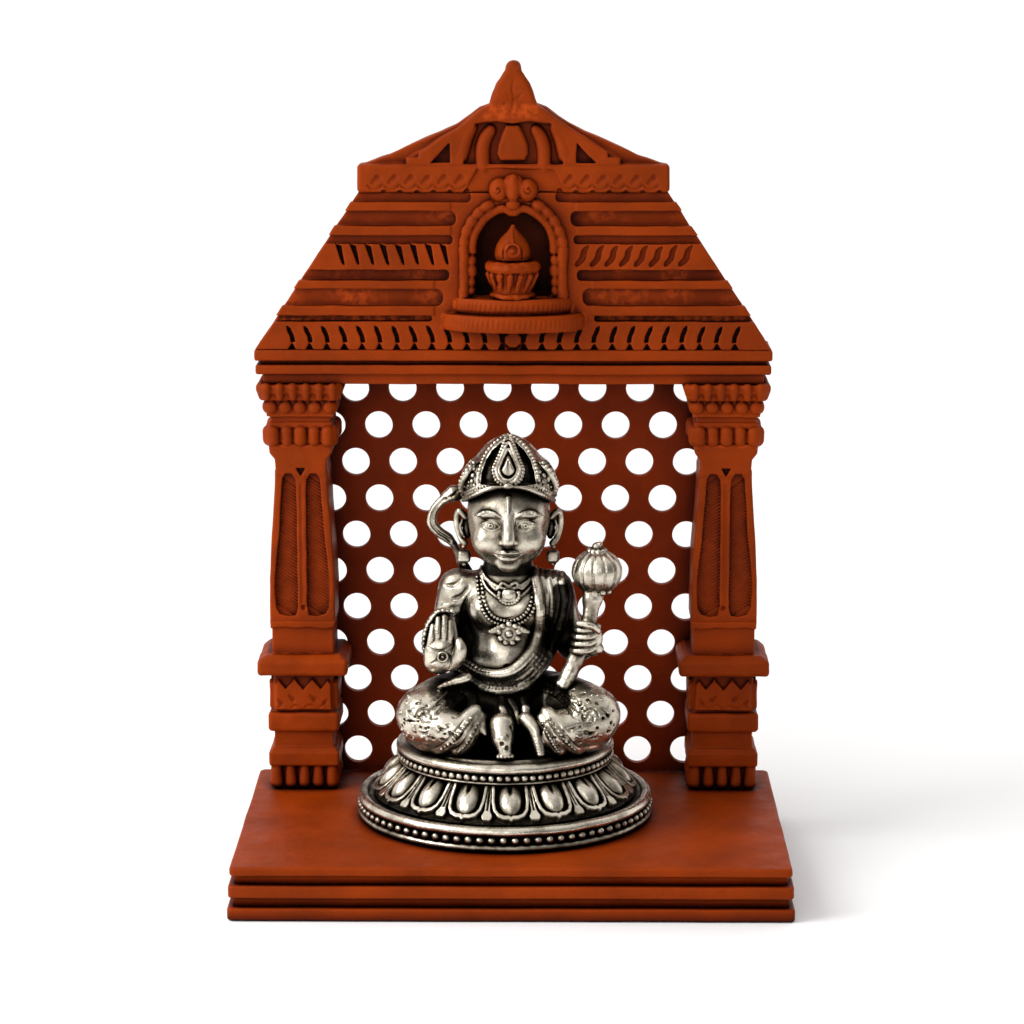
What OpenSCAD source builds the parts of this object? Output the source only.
// A seated deity idol standing loose in a small temple-shaped shrine.
// Frame: X to the viewer's right, -Y to the front, Z up, origin under the middle of the plinth.

/* [Plinth] */
// Width of the plinth, the widest part of the shrine
plinth_w = 100; // [98:1:104]
// Depth of the plinth from front to back
plinth_d = 66; // [66:1:70]
// Thickness of the lower and the middle slab
slab_h = 2.5; // [2.3:0.1:2.7]
// Thickness of the thinner upper slab
top_slab_h = 1.8; // [1.6:0.1:2]
// Height of the set-back strip under a slab
strip_h = 1.5; // [1.3:0.1:1.7]
// How far a strip is set back from the slab edges
strip_inset = 0.8; // [0.5:0.1:1.2]

/* [Pillars] */
// Distance of a pillar's centre line from the middle of the shrine
pillar_x = 39.75; // [39.2:0.05:40]
// Width of a pillar's foot
pillar_w = 13.3; // [12.8:0.1:13.8]
// Depth of a pillar's foot
pillar_d = 13.8; // [13.4:0.1:14]
// Width of the shaft at its thickest, low down
shaft_w = 12.4; // [11.8:0.1:12.8]
// Width of the shaft at its neck
shaft_neck_w = 9.5; // [9:0.1:10]

/* [Roof] */
// Half width of the roof at the eave
eave_half = 48.1; // [47:0.1:48.4]
// Half width of the roof under the gable
ridge_half = 28.6; // [28:0.1:29.2]
// Height of the sloping part of the roof
roof_h = 29.1; // [28.5:0.1:29.5]
// How far the roof's ribs stand out of its face
relief = 1.6; // [1.2:0.1:1.8]
// Thickness of the gable
gable_t = 5; // [4:0.5:6]

/* [Niche] */
// Width of the arched opening in the roof
niche_w = 14.2; // [13.6:0.1:14.6]
// Width of the moulding round the opening
arch_w = 2.4; // [2:0.1:2.6]
// How far the lower ledge stands out of the roof
ledge_out = 7; // [5:0.5:8]

/* [Back panel] */
// Diameter of the panel's round holes
hole_d = 5.3; // [4.6:0.1:5.6]
// Distance between holes along a row
hole_pitch_x = 9.03; // [8.8:0.01:9.2]
// Distance between rows
hole_pitch_z = 7.09; // [6.9:0.01:7.2]
// Thickness of the panel
panel_t = 1.5; // [1:0.1:1.8]

/* [Idol] */
// Radius of the lotus pedestal's foot
pedestal_r = 27.2; // [26:0.1:27.4]
// Radius of the seat on top of the pedestal
seat_r = 20.1; // [19.5:0.1:20.5]
// Petals round the pedestal
petal_n = 17; // [12:1:18]
// Diameter of the round mace head
mace_d = 9.6; // [8.8:0.1:10]
// Gap under the idol, which stands loose on the plinth
rest_gap = 0.05; // [0.03:0.01:0.1]

/* [Hidden] */

$fn = 48;
TERRACOTTA = [0.66, 0.26, 0.08];
DARK_RED = [0.40, 0.12, 0.04];
SILVER = [0.72, 0.70, 0.65];

plinth_h = 2 * slab_h + top_slab_h + 2 * strip_h;
facade_y = 31 - pillar_d;
pillar_back = facade_y + pillar_d;
core_y = facade_y + relief;

// Heights of the pillar's parts, from the plinth up
ledge_z = plinth_h + 22.6;
shaft_z = ledge_z + 3.8;
belly_z = shaft_z + 6.6;
neck_z = belly_z + 28.5;
capital_z = neck_z + 4.6;
lintel_z = capital_z + 11.85;
eave_z = lintel_z + 3.75;
roof_z = eave_z + 2.8;
band_z = roof_z + roof_h;
gable_z = band_z + 5.2;
finial_z = gable_z + 7.1;

arch_z = roof_z + 9.8;
cup_h = 7.1;
arch_r = niche_w / 2;
arch_spring = arch_z + 9.3;
niche_y = core_y + 5;

idol_x = -1.4;
idol_y = 3;
idol_z = plinth_h + rest_gap;
foot_h = 4.6;
flare_h = 5.7;
seat_h = 4.3;
seat_rim_h = 3.7;
flare_z = foot_h;
seat_z = foot_h + flare_h;
lap_z = seat_z + seat_h;
bead_r = 0.5;
limb_fn = 24;

// Half width of the sloping roof at height z
function roof_half(z) = eave_half + (ridge_half - eave_half) * (z - roof_z) / roof_h;

// A flat outline in X and Z, given depth from y0 back to y1
module upright(y0, y1) {
    translate([0, y1, 0]) rotate([90, 0, 0]) linear_extrude(y1 - y0) children();
}

// A block by its two corners
module block(a, b) {
    translate(a) cube(b - a);
}

module both_sides() {
    children();
    mirror([1, 0, 0]) children();
}

// A plinth slab with square edges, centred on the plinth
module slab(inset, z0, z1) {
    x = plinth_w / 2 - inset;
    y = plinth_d / 2 - inset;
    block([-x, -y, z0], [x, y, z1]);
}

module plinth_lower_slab() {
    color(TERRACOTTA) slab(0, 0, slab_h);
}

module plinth_middle_slab() {
    color(TERRACOTTA) {
        slab(strip_inset, slab_h, slab_h + strip_h);
        slab(0.2, slab_h + strip_h, 2 * slab_h + strip_h);
    }
}

module plinth_upper_slab() {
    color(TERRACOTTA) {
        slab(strip_inset, 2 * slab_h + strip_h, plinth_h - top_slab_h);
        slab(0.5, plinth_h - top_slab_h, plinth_h);
    }
}

// A pillar block, widened by grow to the sides and to the front
module pillar_block(grow, z0, z1) {
    half = pillar_w / 2 + grow;
    block([pillar_x - half, facade_y - grow, z0], [pillar_x + half, pillar_back, z1]);
}

// A row of n upright tongues with round ends across the front of a pillar
module tongues(n, width, z0, z1, y0, y1, up = false) {
    r = 0.42 * width / n;
    for (i = [0:n - 1]) {
        x = pillar_x + width * ((i + 0.5) / n - 0.5);
        upright(y0, y1) {
            translate([x, up ? z1 - r : z0 + r]) circle(r);
            translate([x - r, up ? z0 : z0 + r]) square([2 * r, z1 - z0 - r]);
        }
    }
}

module pillar_base() {
    foot_top = plinth_h + 4.7;
    pillar_block(-0.9, plinth_h, foot_top);
    tongues(5, pillar_w, plinth_h, foot_top, facade_y, facade_y + 2);
    pillar_block(0, foot_top, foot_top + 2.7);
    pillar_block(-1, foot_top + 2.7, foot_top + 6.6);
    pillar_block(0.1, foot_top + 6.6, foot_top + 10.3);
    pillar_block(-0.9, foot_top + 10.3, ledge_z);
    for (i = [-1:1])
        upright(facade_y, facade_y + 0.9)
            translate([pillar_x + 3.7 * i, 0])
                polygon([[-1.5, foot_top + 10.3], [1.5, foot_top + 10.3], [1.7, ledge_z - 2.4],
                    [0.2, ledge_z], [-0.2, ledge_z], [-1.7, ledge_z - 2.4]]);
}

module pillar_ledge() {
    pillar_block(1.9, ledge_z, shaft_z - 0.9);
    pillar_block(1.1, shaft_z - 0.9, shaft_z);
}

// Half width of the shaft at a height above its belly, slim at the top and full low down
function shaft_half(z) =
    let (t = (z - belly_z) / (neck_z - belly_z))
    shaft_neck_w / 2 + (shaft_w - shaft_neck_w) / 2 * (0.5 + 0.5 * cos(180 * pow(max(0, t - 0.12), 1.1)));

// The shaft's outline across, in local X and Z
module shaft_outline() {
    steps = 12;
    levels = [for (i = [0:steps]) belly_z + (neck_z - belly_z) * i / steps];
    polygon(concat(
        [for (z = levels) [shaft_half(z), z]],
        [for (i = [steps:-1:0]) [-shaft_half(levels[i]), levels[i]]]));
}

module pillar_shaft() {
    neck_half = shaft_neck_w / 2;
    front = facade_y + 0.9;
    slot_w = 3.2;
    slot_x = 2.7;
    pillar_block(-0.8, shaft_z, belly_z - 1.9);
    pillar_block(-0.2, belly_z - 1.9, belly_z);
    difference() {
        upright(front, pillar_back) translate([pillar_x, 0]) shaft_outline();
        for (s = [-1, 1])
            upright(front - 1, front + 0.9) translate([pillar_x, belly_z + 3.4]) {
                translate([s * slot_x, 0]) circle(slot_w / 2);
                polygon([[s * slot_x - slot_w / 2, 0], [s * slot_x + slot_w / 2, 0],
                    [s * 1.9 + 1.1, neck_z - belly_z - 5.4], [s * 1.9 - 1.1, neck_z - belly_z - 5.4]]);
            }
    }
    top_half = neck_half + 0.3;
    block([pillar_x - top_half, front, neck_z], [pillar_x + top_half, pillar_back, capital_z]);
}

module pillar_capital() {
    rib_top = capital_z + 4;
    knob_z = rib_top + 2;
    flute_z = knob_z + 3;
    pillar_block(-0.8, capital_z, rib_top);
    tongues(5, pillar_w - 1, capital_z, rib_top, facade_y - 0.2, facade_y + 0.8, up = true);
    pillar_block(-0.9, rib_top, knob_z);
    pillar_block(-0.3, knob_z, flute_z);
    for (i = [-2:2])
        translate([pillar_x + 2.7 * i, facade_y + 0.3, knob_z + 1.5])
            rotate([90, 0, 0]) cylinder(h = 0.9, r = 1.2);
    pillar_block(0.6, flute_z, lintel_z);
    tongues(6, pillar_w + 1.8, flute_z, lintel_z, facade_y - 1.2, facade_y - 0.6);
}

module left_pillar_base() { color(TERRACOTTA) mirror([1, 0, 0]) pillar_base(); }
module left_pillar_ledge() { color(TERRACOTTA) mirror([1, 0, 0]) pillar_ledge(); }
module left_pillar_shaft() { color(TERRACOTTA) mirror([1, 0, 0]) pillar_shaft(); }
module left_pillar_capital() { color(TERRACOTTA) mirror([1, 0, 0]) pillar_capital(); }
module right_pillar_base() { color(TERRACOTTA) pillar_base(); }
module right_pillar_ledge() { color(TERRACOTTA) pillar_ledge(); }
module right_pillar_shaft() { color(TERRACOTTA) pillar_shaft(); }
module right_pillar_capital() { color(TERRACOTTA) pillar_capital(); }

// The perforated panel, with every second row of holes moved half a pitch
module back_panel() {
    rows = 11;
    top_row_z = plinth_h + 75.2;
    color(DARK_RED) difference() {
        block([-pillar_x - 4, pillar_back, plinth_h], [pillar_x + 4, pillar_back + panel_t, roof_z]);
        for (row = [0:rows - 1], column = [-4:4]) {
            x = column * hole_pitch_x + (row % 2 == 0 ? -3.1 : 1.35);
            if (abs(x) < 36)
                translate([x, pillar_back - 1, top_row_z - row * hole_pitch_z])
                    rotate([-90, 0, 0]) cylinder(h = panel_t + 2, d = hole_d);
        }
    }
}

// A straight rib across the roof, cut away for the niche
module roof_bar(half0, half1, z0, z1, y0, y1) {
    difference() {
        upright(y0, y1) polygon([[-half0, z0], [half0, z0], [half1, z1], [-half1, z1]]);
        niche_clearance();
    }
}

module lintel() {
    step_z = lintel_z + 1.9;
    color(TERRACOTTA) {
        block([-eave_half + 1.5, facade_y + 0.7, lintel_z], [eave_half - 1.5, pillar_back, step_z]);
        block([-eave_half + 0.2, facade_y - 0.2, step_z], [eave_half - 0.2, pillar_back, eave_z]);
    }
}

module eave_rib() {
    color(TERRACOTTA) {
        block([-eave_half + 0.9, facade_y + 0.8, eave_z], [eave_half - 0.9, pillar_back, eave_z + 0.7]);
        block([-eave_half, facade_y - 0.2, eave_z + 0.7], [eave_half, pillar_back, roof_z]);
    }
}

// The outline of the arched opening, grown all round by grow
module arch_outline(grow) {
    r = arch_r + grow;
    intersection() {
        translate([0, arch_spring]) circle(r);
        translate([-r, arch_z]) square([2 * r, 30]);
    }
    translate([-r, arch_z]) square([2 * r, arch_spring - arch_z]);
}

// What the niche takes out of the roof: its arch, its ledges and its keystone
module niche_clearance() {
    upright(facade_y - 3, core_y) arch_outline(arch_w);
    upright(facade_y - 3, niche_y) arch_outline(0);
    block([-14.1, facade_y - 3, arch_z - 5.9], [14.1, core_y, arch_z]);
    upright(facade_y - 3, core_y) keystone_outline(0);
}

module keystone_outline(shrink) {
    top = arch_spring + arch_r;
    translate([0, top + 4.2]) circle(2.6 - shrink);
    for (s = [-1, 1]) translate([2.5 * s, top + 3.3]) circle(1.9 - shrink);
}

// The roof's solid core: its face stands upright and its back slopes forward to the thin gable
module roof_core() {
    color(TERRACOTTA) difference() {
        intersection() {
            upright(core_y, pillar_back + panel_t)
                polygon([[-roof_half(roof_z) + 0.5, roof_z], [roof_half(roof_z) - 0.5, roof_z],
                    [roof_half(band_z) - 0.5, band_z], [-roof_half(band_z) + 0.5, band_z]]);
            rotate([90, 0, 90]) translate([0, 0, -plinth_w / 2]) linear_extrude(plinth_w)
                polygon([[core_y, roof_z], [pillar_back + panel_t, roof_z], [facade_y + gable_t + 1, band_z],
                    [core_y, band_z]]);
        }
        niche_clearance();
    }
}

// Hanging petals in a row under the lowest roof rib, mirrored about the middle
module petal_band() {
    petal_h = 5.3;
    pitch = 3.25;
    r = 1.25;
    z1 = roof_z + petal_h;
    color(TERRACOTTA) difference() {
        union() {
            roof_bar(roof_half(roof_z) - 0.3, roof_half(z1) - 0.3, roof_z, z1, core_y - 0.5, core_y);
            both_sides() for (i = [1:12])
                upright(facade_y, core_y - 0.5) {
                    translate([pitch * i + 0.4, roof_z + r + 0.4]) circle(r);
                    translate([pitch * i + 0.4 - r, roof_z + r + 0.4]) square([2 * r, petal_h - r - 1.7]);
                }
            upright(facade_y, core_y - 0.5) translate([0, roof_z + 2.2]) circle(d = 3.5);
            roof_bar(roof_half(z1 - 0.8), roof_half(z1), z1 - 0.8, z1, facade_y, core_y - 0.5);
        }
        niche_clearance();
    }
}

// Slanted leaves in a row half way up the roof, mirrored about the middle
module leaf_band() {
    z0 = roof_z + 14.9;
    leaf_h = 4.8;
    z1 = z0 + leaf_h;
    lean = 1.1;
    color(TERRACOTTA) {
        roof_bar(roof_half(z0) - 0.2, roof_half(z1) - 0.2, z0, z1, core_y - 0.5, core_y);
        both_sides() for (i = [0:8])
            upright(facade_y, core_y - 0.5)
                translate([10.8 + 2.72 * i, z0 + 1])
                    polygon([[0, 0], [1.5, 0], [1.5 + lean, leaf_h - 1], [lean, leaf_h - 1]]);
        roof_bar(roof_half(z0), roof_half(z0 + 1), z0, z0 + 1, facade_y + 0.2, core_y - 0.5);
    }
}

module roof_rib(z0, z1) {
    color(TERRACOTTA)
        roof_bar(roof_half(z0) + 0.3, roof_half(z1) + 0.3, z0, z1, facade_y - 0.2, core_y);
}

module roof_rib_1() { roof_rib(roof_z + 6.4, roof_z + 8.2); }
module roof_rib_2() { roof_rib(roof_z + 11.4, roof_z + 12.9); }
module roof_rib_3() { roof_rib(roof_z + 21.3, roof_z + 23); }
module roof_rib_4() { roof_rib(roof_z + 25.8, roof_z + 27.4); }

// The band under the gable, with a row of hooks pressed into its face
module gable_band() {
    half = ridge_half + 0.1;
    color(TERRACOTTA) difference() {
        upright(facade_y - 0.2, facade_y + gable_t) {
            translate([-half + 1, band_z]) square([2 * half - 2, 5.2]);
            for (s = [-1, 1]) translate([s * (half - 1), band_z + 1]) circle(1);
            for (s = [-1, 1]) translate([s * (half - 1), gable_z - 1]) circle(1);
            translate([-half, band_z + 1]) square([2 * half, 3.2]);
        }
        both_sides() for (i = [0:6])
            upright(facade_y - 1, facade_y + 0.5) translate([8 + 3.1 * i, band_z + 1.6]) circle(0.75);
        upright(facade_y - 3, facade_y + 0.6) keystone_outline(-0.6);
    }
}

// The back plate of the gable, whose edges sweep up to the finial
module gable() {
    color(TERRACOTTA) difference() {
        upright(facade_y + 1.4, facade_y + gable_t)
            polygon([[-ridge_half + 0.4, gable_z], [ridge_half - 0.4, gable_z],
                [ridge_half - 2, gable_z + 0.8],
                [13.6, gable_z + 5.2], [8.4, finial_z + 0.9], [4.6, finial_z + 3.6], [-4.6, finial_z + 3.6],
                [-8.4, finial_z + 0.9], [-13.6, gable_z + 5.2], [-ridge_half + 2, gable_z + 0.8]]);
        finial_body();
    }
}

// Raised work on the gable: a medallion, tongues each side of it, and the struts of the frame
module gable_relief() {
    y0 = facade_y;
    y1 = facade_y + 1.4;
    color(TERRACOTTA) difference() {
        union() {
            upright(y0, y1) {
                translate([0, gable_z + 2.4]) circle(2.2);
                translate([0, gable_z + 4.3]) circle(1.7);
            }
            both_sides() upright(y0, y1) {
                polygon([[3.4, gable_z], [6.3, gable_z], [6, gable_z + 3.6], [4.6, gable_z + 6.2],
                    [3.3, gable_z + 6]]);
                polygon([[8.3, gable_z + 0.2], [10.9, gable_z + 0.2], [10.6, gable_z + 4],
                    [7.2, gable_z + 6.8], [6.4, gable_z + 5.6], [8.2, gable_z + 3.6]]);
                polygon([[14.6, gable_z], [20.4, gable_z], [20.4, gable_z + 1.6], [11.3, gable_z + 5.8],
                    [10.7, gable_z + 4.4], [11.8, gable_z + 3.6]]);
            }
        }
        finial_body();
    }
}

// A flattened bell with a small ball on top
module finial_body() {
    upright(facade_y - 0.2, facade_y + gable_t - 0.4) {
        polygon([[-6.2, finial_z + 0.4], [6.2, finial_z + 0.4], [4.4, finial_z + 3.6], [3.9, finial_z + 6.2],
            [2.4, finial_z + 8.6], [1.3, finial_z + 10.2], [-1.3, finial_z + 10.2], [-2.4, finial_z + 8.6],
            [-3.9, finial_z + 6.2], [-4.4, finial_z + 3.6]]);
        translate([0, finial_z + 10.6]) circle(1.4);
    }
}

module finial() {
    color(TERRACOTTA) finial_body();
}

// The moulding round the opening: two rolls, the inner one set back
module niche_arch() {
    color(TERRACOTTA) {
        difference() {
            upright(facade_y - 1.4, core_y) arch_outline(arch_w);
            upright(facade_y - 2, core_y + 1) arch_outline(arch_w / 2);
            upright(facade_y - 3, core_y + 1) keystone_outline(0);
        }
        difference() {
            upright(facade_y - 0.8, core_y) arch_outline(arch_w / 2);
            upright(facade_y - 2, core_y + 1) arch_outline(0);
            upright(facade_y - 3, core_y + 1) keystone_outline(0);
        }
    }
}

// Three lobes over the crown of the arch
module niche_keystone() {
    color(TERRACOTTA) difference() {
        upright(facade_y - 2.2, core_y) keystone_outline(0);
        upright(facade_y - 0.21, core_y + 1)
            translate([-6, band_z]) square([12, 10]);
    }
}

// A half-oval ledge standing out of the roof, its round edge notched like a rope
module niche_ledge(half, out, z0, z1) {
    notch_n = 22;
    span = (half * half + out * out) / (2 * out);
    swing = asin(half / span);
    color(TERRACOTTA) difference() {
        intersection() {
            translate([0, core_y - out + span, z0]) cylinder(h = z1 - z0, r = span, $fn = 96);
            block([-half, core_y - out - 1, z0], [half, core_y, z1]);
        }
        for (i = [1:notch_n - 1]) {
            turn = swing * (2 * i / notch_n - 1);
            translate([span * sin(turn), core_y - out + span - span * cos(turn), z0 - 1])
                cylinder(h = z1 - z0 + 2, r = 0.28, $fn = 16);
        }
    }
}

module niche_upper_ledge() { niche_ledge(11.9, ledge_out - 0.6, arch_z - 2.9, arch_z); }
module niche_lower_ledge() { niche_ledge(14.1, ledge_out + 1.3, arch_z - 5.9, arch_z - 2.9); }

// The ritual pot's flared cup on its foot
module niche_cup() {
    color(TERRACOTTA) translate([-0.1, facade_y - 0.5, arch_z]) rotate_extrude()
        polygon([[0, 0], [4.4, 0], [4.4, 1.1], [3.6, 1.4], [4, 3.2], [5, 5.1], [5.3, 5.2], [5.3, 6.8],
            [4.2, cup_h], [0, cup_h]]);
}

// The pot's onion dome with a medallion on its front
module niche_dome() {
    color(TERRACOTTA) translate([-0.1, facade_y - 0.5, arch_z + cup_h]) {
        rotate_extrude()
            polygon([[0, 0], [3.2, 0], [3.35, 1.4], [3, 2.9], [1.9, 4.7], [0.8, 5.9], [0, 6.6]]);
        translate([0, -2.9, 1.9]) rotate([90, 0, 0]) cylinder(h = 0.7, r = 1.1);
    }
}

// Places its children in the idol's own frame: pedestal centre, underside at zero
module idol() {
    color(SILVER) translate([idol_x, idol_y, idol_z]) children();
}

// A ring of n beads that just touches the groove behind it
module bead_ring(n, groove_r, z) {
    for (i = [0:n - 1])
        rotate([0, 0, 360 * i / n]) translate([groove_r + bead_r, 0, z]) sphere(bead_r, $fn = 16);
}

module pedestal_foot_ring() {
    r = pedestal_r;
    idol() rotate_extrude($fn = 96)
        polygon([[0, 0], [r - 0.3, 0], [r, 0.4], [r, 1.1], [r - 0.3, 1.5], [r - 1.2, 1.6], [r - 1.2, 2.75],
            [r - 0.5, 2.8], [r - 0.1, 3.2], [r - 0.2, 4], [r - 0.9, 4.5], [r - 1.6, foot_h], [0, foot_h]]);
}

module pedestal_foot_beads() {
    idol() bead_ring(88, pedestal_r - 1.2, 2.18);
}

// The flare's outline from its wide foot to its waist, moved out by grow
module flare_outline(grow) {
    foot_r = pedestal_r - 2.4;
    waist_r = seat_r - 1.4;
    steps = 8;
    polygon(concat([[0, 0]],
        [for (i = [0:steps])
            let (t = i / steps)
            [waist_r + (foot_r - waist_r) * pow(1 - t, 1.6) + grow * sin(180 * min(1, t * 1.05)),
                t * flare_h]],
        [[0, flare_h]]));
}

module lotus_flare() {
    idol() translate([0, 0, flare_z]) rotate_extrude($fn = 96) flare_outline(0);
}

// Petals laid on the flare, with a slim tongue in each gap
module lotus_petals() {
    wide = 5;
    slim = 1;
    start = 15;
    margin = 0.3;
    idol() translate([0, 0, flare_z]) intersection() {
        difference() {
            rotate_extrude($fn = 96) flare_outline(1);
            rotate_extrude($fn = 96) flare_outline(0);
        }
        union() for (i = [0:petal_n - 1]) {
            rotate([0, 0, 360 * i / petal_n - 90]) translate([start, -wide / 2, margin])
                cube([12, wide, flare_h - 2 * margin]);
            rotate([0, 0, 360 * (i + 0.5) / petal_n - 90]) translate([start, -slim / 2, margin])
                cube([12, slim, flare_h - 2 * margin]);
        }
    }
}

module seat_ring() {
    r = seat_r;
    idol() translate([0, 0, seat_z]) rotate_extrude($fn = 96)
        polygon([[0, 0], [r - 0.9, 0], [r - 0.4, 0.3], [r - 0.4, 0.6], [r - 1.3, 0.8], [r - 1.3, 1.9],
            [r - 0.6, 2], [r, 2.5], [r, 3.1], [r - 0.6, seat_rim_h], [0, seat_rim_h]]);
}

module seat_beads() {
    idol() bead_ring(82, seat_r - 1.3, seat_z + 1.35);
}

module seat_disc() {
    idol() translate([0, 0, seat_z + seat_rim_h])
        cylinder(h = seat_h - seat_rim_h, r = seat_r - 1.6, $fn = 96);
}

// A limb between two points with a round end of its own size at each
module limb(a, ra, b, rb) {
    hull() {
        translate(a) sphere(ra, $fn = limb_fn);
        translate(b) sphere(rb, $fn = limb_fn);
    }
}

// A folded leg: the thigh out to the knee, and the shin back across the lap
module leg_shape() {
    intersection() {
        union() {
            limb([7, 2, lap_z + 5.2], 5, [15.4, -7.5, lap_z + 5.8], 5.6);
            limb([15, -9, lap_z + 4.6], 4.6, [4.6, -12.4, lap_z + 2.7], 2.6);
        }
        translate([0.15, -25, lap_z]) cube([30, 40, 20]);
    }
}

module leg() {
    difference() {
        leg_shape();
        torso_shape();
    }
}

module left_leg() {
    idol() mirror([1, 0, 0]) leg();
}

module right_leg() {
    idol() leg();
}

module both_legs() {
    leg_shape();
    mirror([1, 0, 0]) leg_shape();
}

module apron_shape() {
    limb([0, -9.5, lap_z + 5], 4, [0, -12.6, lap_z + 2.2], 2.2);
}

// Cloth between the ankles, hanging onto the seat
module apron_drape() {
    idol() difference() {
        apron_shape();
        both_legs();
        torso_shape();
        translate([-9, -25, lap_z - 9]) cube([18, 30, 9]);
    }
}

module torso_shape() {
    hull() {
        translate([0, 1, lap_z]) cylinder(h = 6, r1 = 6.2, r2 = 8.6, $fn = 32);
        translate([0, 1.6, lap_z + 18]) sphere(8, $fn = limb_fn);
        translate([-7.6, 2.4, lap_z + 25.4]) sphere(4, $fn = limb_fn);
        translate([7.6, 2.4, lap_z + 25.4]) sphere(4, $fn = limb_fn);
    }
}

module torso() {
    idol() torso_shape();
}

LEFT_ELBOW = [-12, 0.8, lap_z + 15.6];
RIGHT_ELBOW = [12.8, 1.6, lap_z + 15.4];
SHOULDER_R = 3.5;
ELBOW_R = 2.8;

module left_upper_arm() { limb([-9.4, 2, lap_z + 25.6], SHOULDER_R, LEFT_ELBOW, ELBOW_R); }
module left_forearm() { limb(LEFT_ELBOW, ELBOW_R, [-12.1, -7.8, lap_z + 18.4], 2.2); }
module right_upper_arm() { limb([9.4, 2, lap_z + 25.6], SHOULDER_R, RIGHT_ELBOW, ELBOW_R); }
module right_forearm() { limb(RIGHT_ELBOW, ELBOW_R, [14.4, -2.5, lap_z + 18], 2.3); }

// The viewer's-left arm: bent, its palm held up to the front
module left_arm() {
    idol() difference() {
        union() {
            left_upper_arm();
            left_forearm();
        }
        torso_shape();
    }
}

module left_hand() {
    idol() difference() {
        hull() {
            translate([-11.4, -9.8, lap_z + 17]) rotate([90, 0, 0]) cylinder(h = 2.2, r = 2.9, $fn = 32);
            translate([-11.5, -9.3, lap_z + 22.6]) rotate([90, 0, 0]) cylinder(h = 1.6, r = 2.1, $fn = 32);
        }
        left_forearm();
    }
}

// The viewer's-right arm: the forearm comes forward to grip the mace
module right_arm() {
    idol() difference() {
        union() {
            right_upper_arm();
            right_forearm();
        }
        along_mace() cylinder(h = mace_len, r = MACE_ROD_R);
        torso_shape();
    }
}

MACE_LOW = [11, -8, lap_z + 9.6];
MACE_HIGH = [16.6, -3, lap_z + 27.6];
MACE_GRIP = [14.4, -5.2, lap_z + 19];
MACE_ROD_R = 1.3;
mace_lean = [for (i = [0:2]) MACE_HIGH[i] - MACE_LOW[i]];
mace_len = norm(mace_lean);

// Turns its children from upright onto the line of the mace, standing at its lower end
module along_mace() {
    tilt = acos(mace_lean[2] / mace_len);
    translate(MACE_LOW) rotate([0, tilt, atan2(mace_lean[1], mace_lean[0])]) children();
}

module right_hand() {
    idol() difference() {
        translate(MACE_GRIP) sphere(3.1, $fn = limb_fn);
        along_mace() cylinder(h = mace_len, r = MACE_ROD_R);
        right_forearm();
        right_upper_arm();
        torso_shape();
    }
}

module mace_shaft() {
    idol() difference() {
        along_mace() {
            cylinder(h = mace_len, r = MACE_ROD_R);
            translate([0, 0, mace_len - 2.4]) cylinder(h = 1, r = 2);
        }
        leg_shape();
    }
}

// A round head, fluted round its middle like a gourd, with a small knob on top
module mace_head() {
    lobes = 12;
    flute_r = 0.45;
    sink = 0.4;
    idol() along_mace() translate([0, 0, mace_len + mace_d / 2 - sink]) difference() {
        union() {
            sphere(d = mace_d);
            translate([0, 0, mace_d / 2 - sink]) cylinder(h = 1.6, r = 1);
        }
        for (i = [0:lobes - 1]) rotate([0, 0, 360 * i / lobes])
            translate([mace_d / 2 + 0.15, 0, -mace_d / 2]) cylinder(h = mace_d, r = flute_r);
        translate([0, 0, -mace_d]) cylinder(h = mace_d / 2 + sink, r = MACE_ROD_R);
    }
}

HEAD_Z = lap_z + 39;
HEAD_Y = -0.6;

module neck() {
    idol() difference() {
        translate([0.6, 0.4, lap_z + 27]) cylinder(h = 6, r = 4.6);
        torso_shape();
        head_shape();
    }
}

// The head: round in plan, full at the cheeks, with a soft chin
module head_shape() {
    translate([0.6, HEAD_Y, HEAD_Z]) rotate_extrude()
        polygon([[0, -7.6], [2.6, -7.2], [5, -5.9], [7, -3.4], [7.9, -0.6], [8.1, 2.4],
            [7.9, 5.4], [0, 5.4]]);
}

module head() {
    idol() head_shape();
}

// Puts its children at both ears, their axis pointing sideways
module at_ears() {
    for (s = [-1, 1]) translate([0.6 + 8.6 * s, HEAD_Y + 0.8, HEAD_Z - 0.8]) rotate([0, 90, 0]) children();
}

module ear_rims() {
    at_ears() cylinder(h = 1.2, r = 2.6, center = true);
}

module ears() {
    idol() difference() {
        ear_rims();
        at_ears() cylinder(h = 2, r = 1.3, center = true);
        head_shape();
    }
}

module earrings() {
    idol() difference() {
        for (s = [-1, 1]) translate([0.6 + 8.7 * s, HEAD_Y + 0.6, HEAD_Z - 5.6]) sphere(1.5);
        head_shape();
        ear_rims();
    }
}

// A tall domed crown, pointed at the top
module crown_core() {
    translate([0.6, HEAD_Y, HEAD_Z + 5.4]) rotate_extrude()
        polygon([[0, 0], [8.5, 0], [8.8, 0.8], [8.6, 2.4], [8.2, 5], [6.6, 8], [4.6, 10.4], [2.4, 12],
            [0, 12.9]]);
}

module crown() {
    idol() crown_core();
}

// The jewel on the front of the crown
module crown_jewel() {
    idol() difference() {
        hull() {
            translate([0.6, HEAD_Y - 7.4, HEAD_Z + 8]) rotate([78, 0, 0])
                cylinder(h = 2.2, r = 2.2, $fn = 32);
            translate([0.6, HEAD_Y - 6.2, HEAD_Z + 12.6]) rotate([70, 0, 0])
                cylinder(h = 1.6, r = 0.4, $fn = 32);
        }
        translate([0.6, HEAD_Y, HEAD_Z + 5.4]) cylinder(h = 13, r1 = 8.9, r2 = 2.8);
        crown_core();
    }
}

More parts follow.
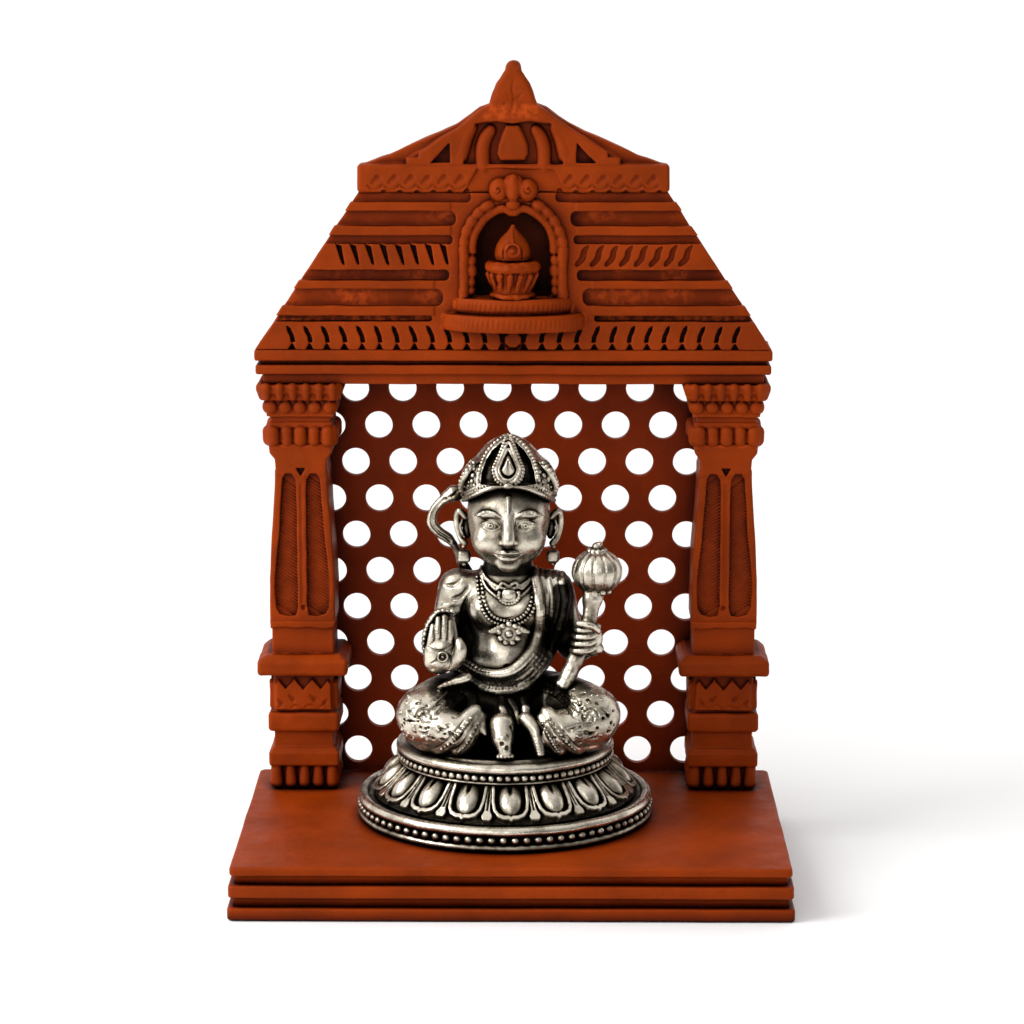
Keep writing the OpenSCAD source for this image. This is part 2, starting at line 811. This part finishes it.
// A hanging loop of round section, lying against the chest and cut clear of it
module chest_loop(radius, thick, lean, drop) {
    difference() {
        translate([0.5, -5.6, lap_z + drop]) rotate([lean, 0, 0]) difference() {
            rotate_extrude() translate([radius, 0]) circle(thick);
            translate([-20, 0, -5]) cube([40, 20, 10]);
        }
        torso_shape();
        neck_core();
    }
}

module neck_core() {
    translate([0.6, 0.4, lap_z + 27]) cylinder(h = 6, r = 4.6);
    head_shape();
}

module short_necklace() {
    idol() chest_loop(4, 0.7, 62, 29);
}

module long_necklace() {
    idol() chest_loop(6.3, 0.7, 78, 27);
}

// The sash, from the viewer's-right shoulder down across the belly to the other hip
module sash_shape() {
    limb([7.4, -1.8, lap_z + 26.4], 2.4, [6.6, -6.4, lap_z + 16], 2);
    limb([6.6, -6.4, lap_z + 16], 2, [1, -8.4, lap_z + 8], 2);
    limb([1, -8.4, lap_z + 8], 2, [-7.4, -6.6, lap_z + 9.6], 1.7);
}

module shoulder_sash() {
    idol() difference() {
        sash_shape();
        torso_shape();
        right_upper_arm();
        both_legs();
        apron_shape();
        chest_loop(6.3, 0.72, 78, 27);
        neck_core();
    }
}

// The tail, curling out behind the viewer's-left shoulder and up to the ear
module tail() {
    tail_r = 1;
    idol() difference() {
        translate([-11.6, 4.6, lap_z + 37.6]) rotate([90, 0, 0]) difference() {
            rotate_extrude() translate([5.2, 0]) circle(tail_r);
            translate([0.4, -20, -3]) cube([20, 40, 6]);
        }
        torso_shape();
        neck_core();
        crown_core();
        left_upper_arm();
    }
}

plinth_lower_slab();
plinth_middle_slab();
plinth_upper_slab();
left_pillar_base();
left_pillar_ledge();
left_pillar_shaft();
left_pillar_capital();
right_pillar_base();
right_pillar_ledge();
right_pillar_shaft();
right_pillar_capital();
back_panel();
lintel();
eave_rib();
roof_core();
petal_band();
leaf_band();
roof_rib_1();
roof_rib_2();
roof_rib_3();
roof_rib_4();
gable_band();
gable();
gable_relief();
finial();
niche_arch();
niche_keystone();
niche_upper_ledge();
niche_lower_ledge();
niche_cup();
niche_dome();
pedestal_foot_ring();
pedestal_foot_beads();
lotus_flare();
lotus_petals();
seat_ring();
seat_beads();
seat_disc();
left_leg();
right_leg();
apron_drape();
torso();
left_arm();
left_hand();
right_arm();
right_hand();
neck();
head();
ears();
earrings();
crown();
crown_jewel();
short_necklace();
long_necklace();
shoulder_sash();
mace_shaft();
mace_head();
tail();
